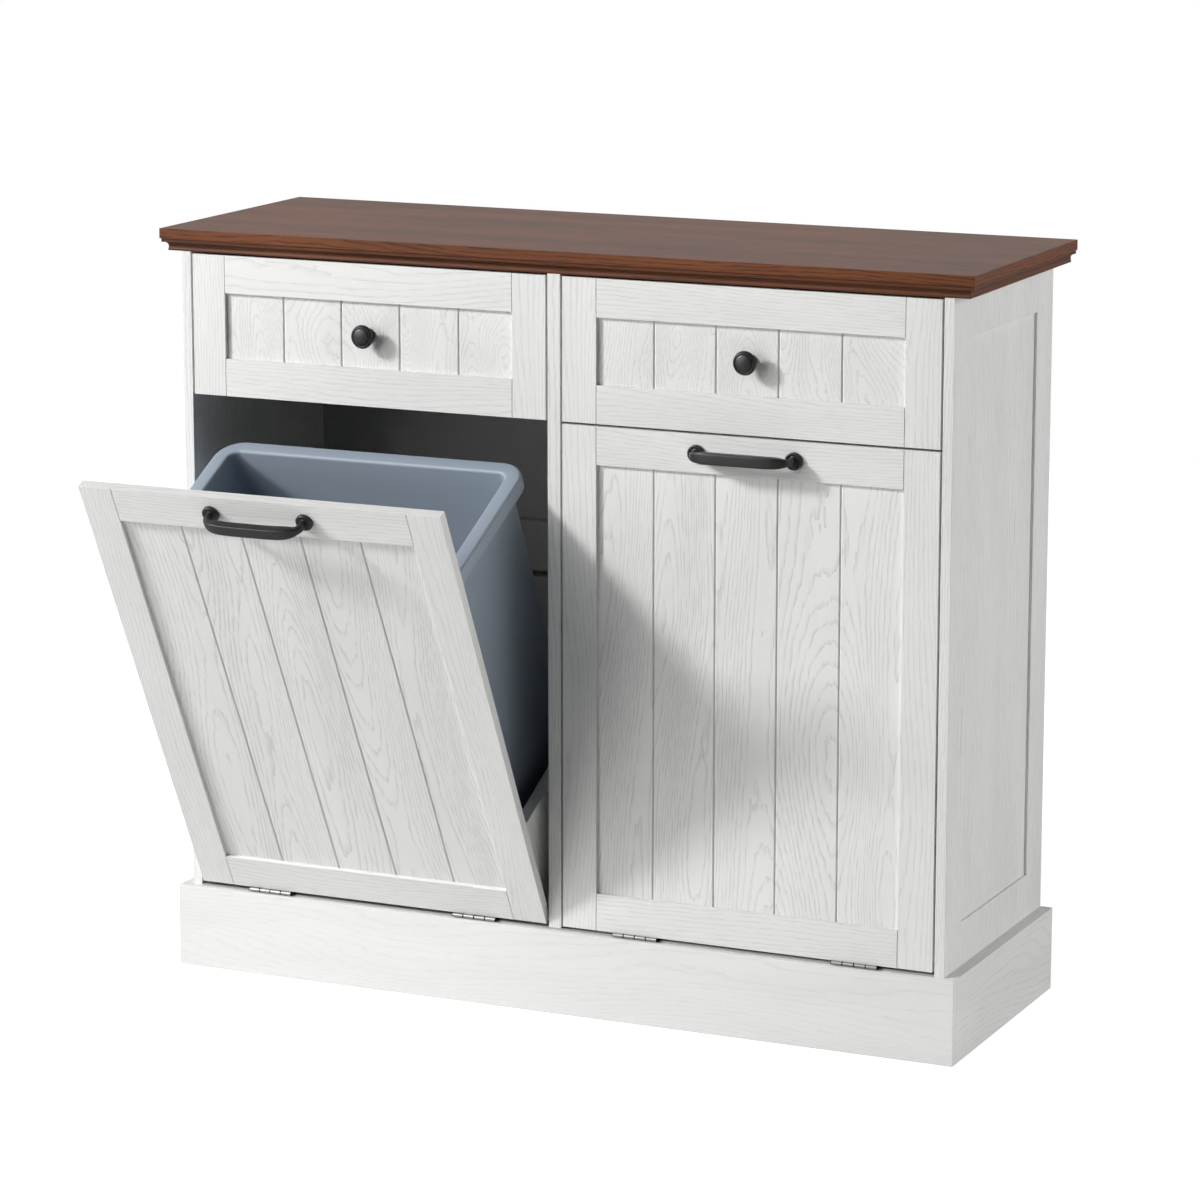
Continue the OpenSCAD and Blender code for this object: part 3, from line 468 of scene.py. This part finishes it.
def screw(bm, place, axis, radius, height):
    """A pan head with a cross recess, on a face that looks along the axis."""
    turn = Vector((0, 0, 1)).rotation_difference(Vector(axis)).to_matrix()
    rings = []
    # Shares of the radius, of the height and of the cross, from the edge into the recess
    for width, lift, cross in ((1.0, 0.0, 0.0), (1.0, 0.35, 0.0), (0.92, 0.72, 0.0),
                               (0.7, 1.0, 0.0), (0.36, 1.0, 0.2), (0.28, 0.3, 0.12)):
        rings.append([Vector(place) + turn @ Vector((
            radius * (width + cross * math.cos(4 * a)) * math.cos(a),
            radius * (width + cross * math.cos(4 * a)) * math.sin(a), height * lift))
            for a in around(32)])
    loft(bm, rings)


def rounded_ring(half_w, half_d, r, z, steps=8):
    """A rounded rectangle about the origin at height z, corner by corner."""
    ring = []
    for corner in range(4):
        cx = (half_w - r) * (1 if corner in (0, 3) else -1)
        cy = (half_d - r) * (1 if corner in (0, 1) else -1)
        for i in range(steps + 1):
            a = math.radians(90 * corner + 90 * i / steps)
            ring.append(Vector((cx + r * math.cos(a), cy + r * math.sin(a), z)))
    return ring


def spow(value, power):
    """A power that keeps the value's sign, as a superellipse needs."""
    return math.copysign(abs(value) ** power, value)


def dress(node, material, edge=None):
    """Gives a carried-over node its material and, for a board, its softened edges."""
    obj = NODES[node]
    obj.data.materials.clear()
    obj.data.materials.append(material)
    if edge:
        weld = obj.modifiers.new("Join edges", "WELD")
        weld.merge_threshold = 1e-5
        soft = obj.modifiers.new("Soft edges", "BEVEL")
        soft.width = edge
        soft.segments = 2
        soft.limit_method = "ANGLE"
        soft.angle_limit = math.radians(30)
        flat = obj.modifiers.new("Flat faces", "WEIGHTED_NORMAL")
        flat.keep_sharp = False


# Pieces

class CABINET_OT_case(bpy.types.Operator):
    """Dresses the case, its plinth and its back in oak-grain film, greyed inside as painted shade
    """
    bl_idname = "cabinet.case"
    bl_label = "Case"

    def execute(self, context):
        colours = context.scene.cabinet_colours
        edge = context.scene.cabinet_sizes.board_edge
        upright = white_film("White oak film, upright grain", "Z", colours, figure=0.35)
        level = white_film("White oak film, level grain", "X", colours, shift=(137, 41, 0),
                           figure=0.5, strength=0.13)
        deep = white_film("White oak film, grain front to back", "Y", colours, shift=(37, 91, 0),
                          figure=0.5, strength=0.2)
        # The boards behind the fronts get a greyer film, as painted shade inside the case
        inner = white_film("Grey oak film, upright grain", "Z", colours, figure=0.35,
                           ground=colours.inner_shade_film)
        for node in ("side_panel_left", "side_panel_right", "divider"):
            dress(node, upright, edge)
        for node in ("back_upper", "back_lower", "back_rail_left", "back_rail_right",
                     "floor_panel", "stretcher_left", "stretcher_right"):
            dress(node, inner, edge)
        for node in ("plinth_front", "plinth_back"):
            dress(node, level, edge)
        for node in ("plinth_left", "plinth_right", "plinth_centre", "tilt_stops"):
            dress(node, deep, edge)
        return {"FINISHED"}


class CABINET_OT_top(bpy.types.Operator):
    """Dresses the worktop and its moulding in walnut-stained film"""
    bl_idname = "cabinet.top"
    bl_label = "Top"

    def execute(self, context):
        colours = context.scene.cabinet_colours
        edge = context.scene.cabinet_sizes.board_edge
        brown = {"line": colours.stain_line, "depth": 0.1 * MM, "roughness": 0.5,
                 "figure": 0.35, "strength": 0.8, "sheen": 0.29, "cloud": 0.22}
        board = film("Walnut-stained film, level grain", "X", ground=colours.stain,
                     half_length=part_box("top_panel")[1].x, **brown)
        # The moulding's darker ground is painted shade under the top's overhang
        level = film("Walnut-stained moulding film, level grain", "X",
                     ground=colours.moulding_shade_stain, **brown)
        deep = film("Walnut-stained moulding film, grain front to back", "Y",
                    ground=colours.moulding_shade_stain, **brown)
        for node, finish in (("top_panel", board), ("top_back_strip", board),
                             ("moulding_front", level), ("moulding_left", deep),
                             ("moulding_right", deep)):
            dress(node, finish, edge)
        return {"FINISHED"}


class CABINET_OT_fronts(bpy.types.Operator):
    """Dresses the doors, drawer fronts, carriers and drawer boxes"""
    bl_idname = "cabinet.fronts"
    bl_label = "Fronts"

    # How far each side's film is shifted, in millimetres, so that no two fronts look alike
    DOOR_SHIFTS = {"left": (311, 0, 0), "right": (93, 0, 160)}
    DRAWER_SHIFTS = {"left": (211, 0, 90), "right": (157, 0, 90)}

    def execute(self, context):
        colours = context.scene.cabinet_colours
        edge = context.scene.cabinet_sizes.board_edge
        for side in SIDES:
            shift = self.DOOR_SHIFTS[side]
            frame_film = white_film("White oak film, %s door frame" % side, "Z", colours,
                                    door=side, front=side, shift=shift, figure=0.35,
                                    strength=0.27)
            door = white_film("White oak film, %s door" % side, "Z", colours, door=side,
                              shift=shift, grooved=True)
            dress("%s_door_frame" % side, frame_film, edge)
            for part in ("door_boards", "carrier_side_outer", "carrier_side_inner",
                         "carrier_back", "carrier_floor"):
                dress("%s_%s" % (side, part), door, edge)
            shift = self.DRAWER_SHIFTS[side]
            frame_film = white_film("White oak film, %s drawer frame" % side, "Z", colours,
                                    front=side, shift=shift, figure=0.5, strength=0.27)
            drawer = white_film("White oak film, %s drawer" % side, "Z", colours, shift=shift,
                                strength=0.36, tighter=(1.5, 3.3), grooved=True)
            dress("%s_drawer_frame" % side, frame_film, edge)
            for part in ("boards", "side_outer", "side_inner", "back", "bottom"):
                dress("%s_drawer_%s" % (side, part), drawer, edge)
        return {"FINISHED"}


class CABINET_OT_bins(bpy.types.Operator):
    """Moulds the two lift-out bins with their turned-down rims"""
    bl_idname = "cabinet.bins"
    bl_label = "Bins"

    # In millimetres: the corners' radius at the rim's edge and the least one, the rim's width and
    # depth, and the shell's thickness
    CORNER = 33
    LEAST_CORNER = 5
    RIM_WIDTH = 20
    RIM_DEPTH = 18.5
    SHELL = 2.2

    def execute(self, context):
        plastic = moulded_bin(context.scene.cabinet_colours)
        centre = (BIN_LO + BIN_HI) / 2
        half = (BIN_HI - BIN_LO) / 2 / MM
        profile = self.profile(2 * half.z, context.scene.cabinet_sizes.rim_edge / MM)
        for side, sign in SIDES.items():
            foot = Vector((sign * centre.x, centre.y, BIN_LO.z))
            rings = [[foot + p * MM for p in rounded_ring(
                half.x - inset, half.y - inset, max(self.CORNER - inset, self.LEAST_CORNER), z)]
                for inset, z in profile]
            obj = make_object("%s_bin_shell" % side, lambda bm: loft(bm, rings), plastic)
            obj.data.transform(tilt_matrix(side))
            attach(obj, "%s_bin" % side)
            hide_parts("%s_bin" % side)
        return {"FINISHED"}

    def profile(self, top, edge):
        """Distances in from the rim's edge and heights, from the inner floor out to the foot."""
        quarter = [math.radians(22.5 * i) for i in range(5)]
        lip = top - self.RIM_DEPTH
        points = [(34, 6.2), (27, 6.3), (23.5, 7.2), (21.0, 9.4), (19.7, 13.0), (19.2, 20.0),
                  (16.75, top - 86), (16.85, top - 78), (19.8, top - 26),
                  (self.RIM_WIDTH, top - 18), (self.RIM_WIDTH, top - edge - 0.3)]
        points += [(self.RIM_WIDTH - edge * (1 - math.cos(a)), top - edge * (1 - math.sin(a)))
                   for a in quarter]
        points += [(edge - edge * math.sin(a), top - edge * (1 - math.cos(a))) for a in quarter]
        points += [(0.0, lip + 1.2), (0.3, lip + 0.3), (1.1, lip), (1.9, lip + 0.3),
                   (self.SHELL, lip + 1.2), (self.SHELL, top - 4.0), (3.0, top - 2.6),
                   (5.0, top - self.SHELL), (12.0, top - self.SHELL), (13.6, top - 2.8),
                   (14.0, top - 4.4), (17.0, 7.0), (17.4, 3.2), (18.6, 0.9), (20.8, 0.0),
                   (30.0, 0.0), (31.0, 0.8), (31.2, 4.0)]
        return points


class CABINET_OT_pulls(bpy.types.Operator):
    """Casts the door pulls, each a bowed grip on two rosettes"""
    bl_idname = "cabinet.pulls"
    bl_label = "Pulls"

    # The legs start this far out, inside the rosettes
    ROOT = 0.002
    # On a tilted door the grip's upper edge leads; it stays this far inside the box
    ROOM = 0.0003
    # Shares of the bow's rise: where a leg starts to swell, and how far the swell goes on
    SWELL_FROM, SWELL_OVER = 0.35, 0.6

    def execute(self, context):
        black = cast_black(context.scene.cabinet_colours)
        sizes = context.scene.cabinet_sizes
        for side, sign in SIDES.items():
            place = Vector((sign * BAY_X + PULL_SHIFT, FACE_Y, PULL_Z))
            obj = make_object("%s_pull" % side, lambda bm: self.build(bm, sizes, place), black)
            obj.data.transform(tilt_matrix(side))
            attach(obj, "%s_door" % side)
            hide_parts("%s_door_pull" % side)
        return {"FINISHED"}

    def build(self, bm, sizes, place):
        """The bow is a superellipse; its section swells from a leg to a flat, crisp-edged grip."""
        steps, step = 72, 0.026
        half_span = (PULL_HI.x - PULL_LO.x - sizes.rosette_width) / 2
        reach = PULL_HI.y - PULL_LO.y - sizes.grip_thickness / 2 - self.ROOT - self.ROOM

        def centre(a):
            return Vector((-half_span * spow(math.cos(a), 0.5),
                           -self.ROOT - reach * spow(math.sin(a), 0.5), 0))

        rings = []
        for k in range(steps + 1):
            a = math.pi * k / steps
            heading = (centre(min(a + step, math.pi)) - centre(max(a - step, 0))).normalized()
            across = Vector((heading.y, -heading.x, 0))
            swell = min(max((math.sin(a) - self.SWELL_FROM) / self.SWELL_OVER, 0.0), 1.0)
            swell *= swell * (3 - 2 * swell)
            half_t, half_h = ((leg + (grip - leg) * swell) / 2 for leg, grip in (
                (sizes.leg_thickness, sizes.grip_thickness), (sizes.leg_height, sizes.grip_height)))
            # A leg is softly squared, and the grip has crisp edges
            power = 2 / (3 + 4 * swell)
            rings.append([place + centre(a) + across * half_t * spow(math.cos(b), power)
                          + Vector((0, 0, half_h * spow(math.sin(b), power)))
                          for b in around(40)])
        loft(bm, rings)
        # A rosette, from its foot over the edge and across its dish to the ring round the leg. It
        # is a hair smaller than the box, so that rounding can't take it past
        r = sizes.rosette_width / 2 - 1e-5
        leg = sizes.leg_thickness / 2
        disc = [(r, 0.0), (r, 0.0033), (r - 0.0004, 0.0041), (r - 0.0011, 0.0045),
                (leg + 0.0031, 0.0045), (leg + 0.0028, 0.0037), (leg + 0.0014, 0.0036),
                (leg + 0.0011, 0.0045)]
        for s in (-1, 1):
            lathe(bm, disc, place + Vector((s * half_span, 0, 0)), 48)


class CABINET_OT_knobs(bpy.types.Operator):
    """Turns the drawer knobs"""
    bl_idname = "cabinet.knobs"
    bl_label = "Knobs"

    # In millimetres: the neck's radius, the hollow under the cap and the cap's thickness
    NECK = 5.5
    HOLLOW = 4.0
    CAP = 8

    def execute(self, context):
        black = cast_black(context.scene.cabinet_colours)
        profile = self.profile((KNOB_HI.x - KNOB_LO.x) / 2 / MM, (KNOB_HI.y - KNOB_LO.y) / MM)
        for side, sign in SIDES.items():
            place = Vector((sign * BAY_X, FIELD_Y, KNOB_Z))
            obj = make_object("%s_knob" % side, lambda bm: lathe(
                bm, [(r * MM, z * MM) for r, z in profile], place, 72), black)
            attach(obj, "%s_drawer" % side)
            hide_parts("%s_drawer_knob" % side)
        return {"FINISHED"}

    def profile(self, cap, out):
        """Radius and distance out, from the foot, up the neck and over the ringed face."""
        under = out - self.CAP
        points = [(8.5, 0.0), (8.5, 1.9), (8.2, 2.4), (7.6, 2.5), (6.2, 3.0), (5.6, 4.0),
                  (self.NECK, 6.0), (self.NECK, under - 5.0)]
        points += [(self.NECK + self.HOLLOW * (1 - math.cos(a)),
                    under - self.HOLLOW + self.HOLLOW * math.sin(a))
                   for a in (math.radians(18 * i) for i in range(1, 6))]
        points += [(cap - 2.0, under), (cap - 0.8, under + 0.4), (cap - 0.1, under + 1.5),
                   (cap, under + 2.3), (cap - 0.3, under + 3.6), (cap - 1.2, under + 4.9),
                   (cap - 2.4, under + 5.8), (cap - 2.9, under + 6.0), (cap - 3.1, under + 5.0),
                   (cap - 4.0, under + 5.0), (cap - 4.2, under + 6.2)]
        points += [(r, out - 1.65 * (r / (cap - 4.1)) ** 2)
                   for r in (cap - 4.6, cap - 6, cap - 8, cap - 10.5, 2.0, 0.5)]
        return points


class CABINET_OT_hardware(bpy.types.Operator):
    """Finishes the hinges and the drawer runners"""
    bl_idname = "cabinet.hardware"
    bl_label = "Hinges and runners"

    # Screw and bolt heads: radius, height and slot
    HEADS = {
        "back": (0.0025, 0.0014, "zinc"),
        "leaf": (0.0026, 0.00012, "nickel"),
        "bolt": (0.0042, 0.0022, "zinc"),
        "runner": (0.0035, 0.0016, "zinc"),
    }

    def execute(self, context):
        colours = context.scene.cabinet_colours
        along_x, along_y = (60, 900, 900), (900, 40, 900)
        # Nickel plating is bright and barely yellow; zinc plating on the runners is greyer
        # The nickel darkens at the knuckles' ends as painted shade in the gaps
        nickel = plated("Nickel-plated steel", colours.nickel, 0.36, along_x, colours.gap_shade)
        # The pins are coloured dark as painted shade in the gaps between the knuckles
        gap_shaded = plated("Oiled steel", colours.gap_shade, 0.6, along_x)
        zinc = plated("Zinc-plated steel", colours.zinc, 0.36, along_y)
        self.finishes = {"nickel": nickel, "zinc": zinc}
        for node in ("hinge_leaves_floor", "left_hinge_leaves", "right_hinge_leaves"):
            dress(node, nickel)
        dress("hinge_pins", gap_shaded)
        for node in ("runners_left", "runners_right", "left_drawer_runners",
                     "right_drawer_runners"):
            dress(node, zinc)
        self.back_screws()
        for side in SIDES:
            middle = SIDES[side] * BAY_X
            self.hinge_screws(side, middle)
            self.bolts(side, middle, context.scene.cabinet_sizes.rosette_width)
            self.runner_screws(side, middle)
        return {"FINISHED"}

    def fasten(self, name, body, kind, heads, tilted=""):
        """One object for a row of like heads, each a place and the way it faces.

        Heads on a door name its side.
        """
        radius, height, slot = self.HEADS[kind]
        obj = make_object(name, lambda bm: [screw(bm, place, axis, radius, height)
                                            for place, axis in heads], self.finishes[slot])
        if tilted:
            obj.data.transform(tilt_matrix(tilted))
        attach(obj, body)

    def back_screws(self):
        """Heads along the edges of the back sheet and up its middle."""
        lo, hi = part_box("back_upper")
        edge, foot, flank = 0.009, 0.007, 0.003
        places = [(lo.x + edge + (hi.x - lo.x - 2 * edge) * i / 6, z)
                  for i in range(7) for z in (lo.z + foot, hi.z - edge)]
        places += [(x, lo.z + (hi.z - lo.z) * i / 5) for i in range(1, 5)
                   for x in (lo.x + flank, 0.0, hi.x - flank)]
        self.fasten("Back_screws", "cabinet", "back",
                    [((x, hi.y, z), (0, 1, 0)) for x, z in places])

    def hinge_screws(self, side, middle):
        """Three flush heads on each leaf: up from the floor's leaf and down from the door's."""
        apart, floor_in, door_in = 0.019, 0.011, 0.007
        along = [middle + s * HINGE_OUT + d for s in (-1, 1) for d in (-apart, 0.0, apart)]
        floor_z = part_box("floor_panel")[1].z + LEAF
        self.fasten("%s_floor_leaf_screws" % side.title(), "cabinet", "leaf",
                    [((x, FACE_Y + floor_in, floor_z), (0, 0, 1)) for x in along])
        self.fasten("%s_door_leaf_screws" % side.title(), "%s_door" % side, "leaf",
                    [((x, FACE_Y + door_in, DOOR_LO.z - LEAF), (0, 0, -1)) for x in along], side)

    def bolts(self, side, middle, rosette):
        """The bolts that hold a pull or a knob show their heads behind the front."""
        half_span = (PULL_HI.x - PULL_LO.x - rosette) / 2
        self.fasten("%s_pull_bolts" % side.title(), "%s_door" % side, "bolt",
                    [((middle + PULL_SHIFT + s * half_span, REAR_Y, PULL_Z), (0, 1, 0))
                     for s in (-1, 1)], side)
        self.fasten("%s_knob_bolt" % side.title(), "%s_drawer" % side, "bolt",
                    [((middle, REAR_Y, KNOB_Z), (0, 1, 0))])

    def runner_screws(self, side, middle):
        """Three heads in each of a drawer's own runners."""
        from_end = 0.03
        box_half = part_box("right_drawer_side_outer")[1].x - BAY_X
        lo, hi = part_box("right_drawer_runners")
        heads = [((middle + s * (box_half + LEAF), y, (lo.z + hi.z) / 2), (s, 0, 0))
                 for s in (-1, 1) for y in (lo.y + from_end, (lo.y + hi.y) / 2, hi.y - from_end)]
        self.fasten("%s_runner_screws" % side.title(), "%s_drawer" % side, "runner", heads)


class CABINET_OT_stage(bpy.types.Operator):
    """Lays the pale floor and sets the camera and the soft studio light"""
    bl_idname = "cabinet.stage"
    bl_label = "Stage"

    # Camera: its place, its lens in millimetres, and how far it looks down and to the left
    CAMERA = (2.1648, -4.7801, 1.5583)
    LENS = 135.56
    DOWN, TURNED = math.radians(11.788), math.radians(24.516)

    # Name, shape, place, point aimed at, width in metres and power in watts
    LAMPS = (
        ("Key", "DISK", (-4.67, -3.41, 3.54), (0.39, -0.16, 0.38), 1.0, 323.0),
        ("Soft left", "SQUARE", (-3.0, -4.2, 2.4), (0.0, 0.0, 0.45), 3.6, 139.0),
        ("Soft right", "SQUARE", (4.5, 1.2, 1.4), (0.4, 0.0, 0.45), 3.0, 125.0),
    )
    AMBIENT = 0.003
    # The way from the cabinet to the lit backdrop
    BACKDROP = (-0.3, 0.9, 0.3)
    # The paper's glow to the eye, half its width, and how far it lies under the plinth
    GLOW = 0.86
    PAPER_HALF = 3.6
    PAPER_DROP = 0.0002

    def execute(self, context):
        scene = context.scene
        floor = make_object("Studio_floor", self.floor, self.paper(), smooth=False)
        self.lights(scene)
        camera = bpy.data.cameras.new("Photo camera")
        camera.sensor_width = 36.0
        camera.lens = self.LENS
        camera.clip_end = 100.0
        holder = bpy.data.objects.new("Photo camera", camera)
        scene.collection.objects.link(holder)
        holder.location = self.CAMERA
        holder.rotation_euler = (math.radians(90) - self.DOWN, 0.0, self.TURNED)
        scene.camera = holder
        scene.view_settings.view_transform = "Standard"
        return {"FINISHED"}

    def floor(self, bm):
        bmesh.ops.create_grid(bm, x_segments=1, y_segments=1, size=self.PAPER_HALF,
                              matrix=Matrix.Translation((0, 0, -self.PAPER_DROP)))

    def paper(self):
        """Matt paper that lights the cabinet as pale grey.

        To the eye it glows to white, but for a shadow.
        """
        material, tree = new_material("Studio paper")
        seen = add(tree, "ShaderNodeLightPath").outputs["Is Camera Ray"]
        glow = add(tree, "ShaderNodeMath", (seen, self.GLOW), operation="MULTIPLY")
        shader = add(tree, "ShaderNodeBsdfPrincipled", {
            "Base Color": linear("#DADADA"), "Roughness": 0.9,
            "Emission Color": linear("#FFFFFF"), "Emission Strength": glow})
        add(tree, "ShaderNodeOutputMaterial", {"Surface": shader})
        return material

    def lights(self, scene):
        """Lamps, and a world that is dim but for what the camera and reflections see of it."""
        world = bpy.data.worlds.new("Studio")
        scene.world = world
        world.use_nodes = True
        tree = world.node_tree
        tree.nodes.clear()
        dim = add(tree, "ShaderNodeBackground", {"Color": linear("#FFFFFF"),
                                                 "Strength": self.AMBIENT})
        # In reflections the lit backdrop stands behind the cabinet, to the left, and fades from
        # 18 to 60 degrees off its middle
        heading = add(tree, "ShaderNodeTexCoord").outputs["Generated"]
        towards = add(tree, "ShaderNodeVectorMath", (heading, self.BACKDROP),
                      operation="DOT_PRODUCT").outputs["Value"]
        backdrop = add(tree, "ShaderNodeMapRange", (towards, 0.5, 0.95, 0.1, 1.0))
        path = add(tree, "ShaderNodeLightPath").outputs
        strength = add(tree, "ShaderNodeMath", (backdrop, path["Is Camera Ray"]),
                       operation="MAXIMUM")
        white = add(tree, "ShaderNodeBackground", {"Color": linear("#FFFFFF"),
                                                   "Strength": strength})
        seen = add(tree, "ShaderNodeMath", (path["Is Camera Ray"], path["Is Glossy Ray"]),
                   operation="MAXIMUM")
        seen = add(tree, "ShaderNodeMath", (seen, path["Is Transmission Ray"]),
                   operation="MAXIMUM")
        mixed = add(tree, "ShaderNodeMixShader", (seen, dim, white))
        add(tree, "ShaderNodeOutputWorld", {"Surface": mixed})
        for name, shape, place, aim, width, power in self.LAMPS:
            lamp = bpy.data.lights.new(name, "AREA")
            lamp.shape = shape
            lamp.size = width
            lamp.energy = power
            holder = bpy.data.objects.new(name, lamp)
            scene.collection.objects.link(holder)
            holder.location = place
            aimed = (Vector(aim) - Vector(place)).to_track_quat("-Z", "Y")
            holder.rotation_euler = aimed.to_euler()


OPERATORS = (CABINET_OT_case, CABINET_OT_top, CABINET_OT_fronts, CABINET_OT_bins,
             CABINET_OT_pulls, CABINET_OT_knobs, CABINET_OT_hardware, CABINET_OT_stage)


class CABINET_PT_panel(bpy.types.Panel):
    """Lists the cabinet's sizes, colours and pieces"""
    bl_idname = "CABINET_PT_panel"
    bl_label = "Trash cabinet"
    bl_space_type = "VIEW_3D"
    bl_region_type = "UI"
    bl_category = "Cabinet"

    def draw(self, context):
        for group in (context.scene.cabinet_sizes, context.scene.cabinet_colours):
            box = self.layout.box()
            for key in group.bl_rna.properties.keys():
                if key not in ("rna_type", "name"):
                    box.prop(group, key)
        for operator in OPERATORS:
            self.layout.operator(operator.bl_idname)


CLASSES = (CabinetSizes, CabinetColours) + OPERATORS + (CABINET_PT_panel,)


def register():
    for cls in CLASSES:
        bpy.utils.register_class(cls)
    bpy.types.Scene.cabinet_sizes = bpy.props.PointerProperty(type=CabinetSizes)
    bpy.types.Scene.cabinet_colours = bpy.props.PointerProperty(type=CabinetColours)


def unregister():
    del bpy.types.Scene.cabinet_colours
    del bpy.types.Scene.cabinet_sizes
    for cls in reversed(CLASSES):
        bpy.utils.unregister_class(cls)


def main():
    register()
    for operator in OPERATORS:
        area, name = operator.bl_idname.split(".")
        getattr(getattr(bpy.ops, area), name)()
    bpy.context.view_layer.update()


if __name__ == "__main__":
    main()
